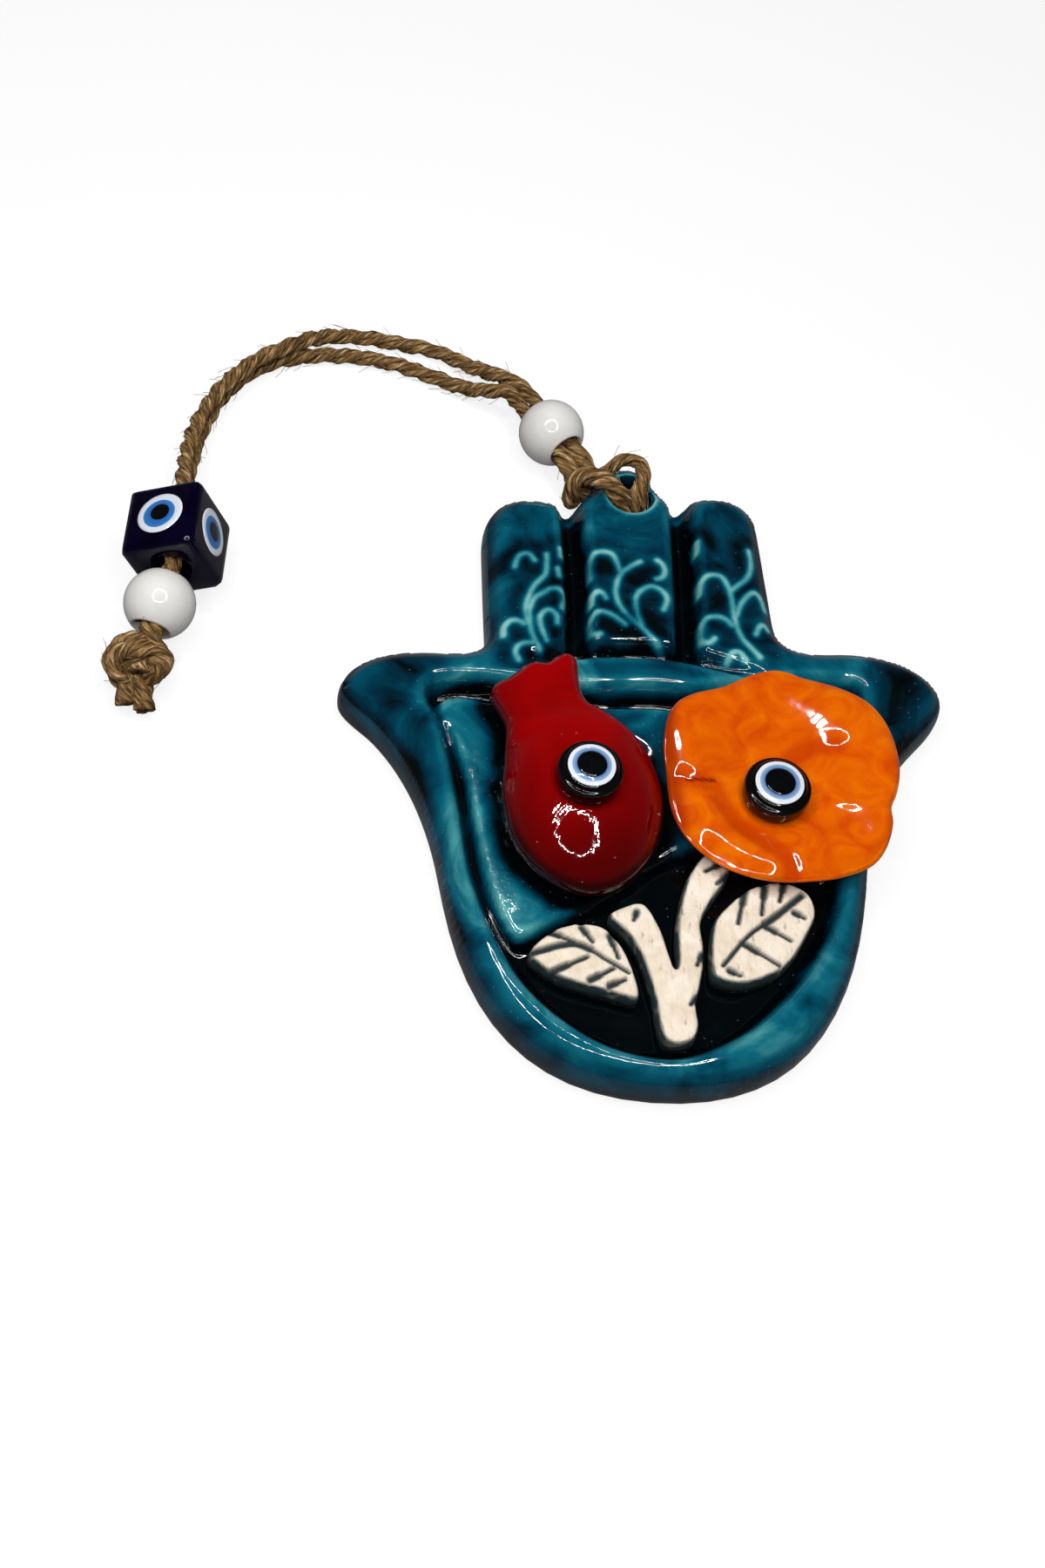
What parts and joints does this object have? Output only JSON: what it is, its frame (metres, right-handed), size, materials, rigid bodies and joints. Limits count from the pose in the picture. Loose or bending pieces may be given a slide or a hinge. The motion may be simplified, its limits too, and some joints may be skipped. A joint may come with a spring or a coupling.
{
  "type": "evil eye wall hanging",
  "caption": "Glazed ceramic open-hand plaque with a pomegranate, a flower and glass eye beads, hung by a knotted jute cord strung with round beads and a glass eye cube.",
  "frame": {"origin": "middle of the plaque's outline, on its flat back", "axes": "+Y from the heel of the hand to the fingertips, +Z out of the decorated face, +X to the right seen from the front"},
  "size_m": [0.1419, 0.1574, 0.0208],
  "materials": {
    "teal_glaze": "glossy glaze over earthenware",
    "bisque": "unglazed fired clay, matt",
    "red_glaze": "glossy glaze over earthenware",
    "orange_glaze": "glossy glaze over earthenware",
    "black_glass": "glossy opaque",
    "cobalt_glass": "glossy opaque",
    "white_glass": "glossy opaque",
    "blue_glass": "glossy opaque",
    "porcelain": "glossy",
    "jute": "twisted fibre",
    "glue": "cured adhesive"
  },
  "bodies": {
    "plaque": {"cord_hitch": "jute", "flower": "orange_glaze", "flower_eye": "black_glass", "flower_eye_blue": "blue_glass", "flower_eye_glue": "glue", "flower_eye_pupil": "black_glass", "flower_eye_white": "white_glass", "flower_glue": "glue", "hamsa_plaque": "teal_glaze", "left_leaf": "bisque", "pomegranate": "red_glaze", "pomegranate_eye": "black_glass", "pomegranate_eye_blue": "blue_glass", "pomegranate_eye_glue": "glue", "pomegranate_eye_pupil": "black_glass", "pomegranate_eye_white": "white_glass", "pomegranate_glue": "glue", "right_leaf": "bisque", "stem": "bisque"},
    "hanging_cord": {"neck_strand_1": "jute", "neck_strand_2": "jute", "cord_strand_1": "jute", "cord_strand_2": "jute", "end_knot": "jute", "cut_end_1": "jute", "cut_end_2": "jute"},
    "top_bead": {"top_bead": "porcelain"},
    "cube_bead": {"cube_bead": "cobalt_glass", "cube_eye_1_blue": "blue_glass", "cube_eye_1_pupil": "black_glass", "cube_eye_1_white": "white_glass", "cube_eye_2_blue": "blue_glass", "cube_eye_2_pupil": "black_glass", "cube_eye_2_white": "white_glass", "cube_eye_3_blue": "blue_glass", "cube_eye_3_pupil": "black_glass", "cube_eye_3_white": "white_glass", "cube_eye_4_blue": "blue_glass", "cube_eye_4_pupil": "black_glass", "cube_eye_4_white": "white_glass"},
    "bottom_bead": {"bottom_bead": "porcelain"}
  },
  "joints": [
    {"name": "cord_swing", "type": "hinge", "parent": "plaque", "child": "hanging_cord", "pos_m": [-0.00745, 0.06025, 0.0061], "axis": [0, 0, 1], "range_deg": [-45, 20], "deforming": ["neck_strand_1", "neck_strand_2"]},
    {"name": "top_bead_slide", "type": "slide", "parent": "hanging_cord", "child": "top_bead", "axis": [-0.5, 0.866, 0], "range_m": [-0.0006, 0.006]},
    {"name": "cube_spin", "type": "hinge", "parent": "hanging_cord", "child": "cube_bead", "pos_m": [-0.07905, 0.0393, 0.00887], "axis": [-0.0924, -0.9957, 0], "continuous": true},
    {"name": "bottom_bead_spin", "type": "hinge", "parent": "hanging_cord", "child": "bottom_bead", "pos_m": [-0.0814, 0.0266, 0.0076], "axis": [-0.2831, -0.9351, -0.2133], "continuous": true}
  ]
}
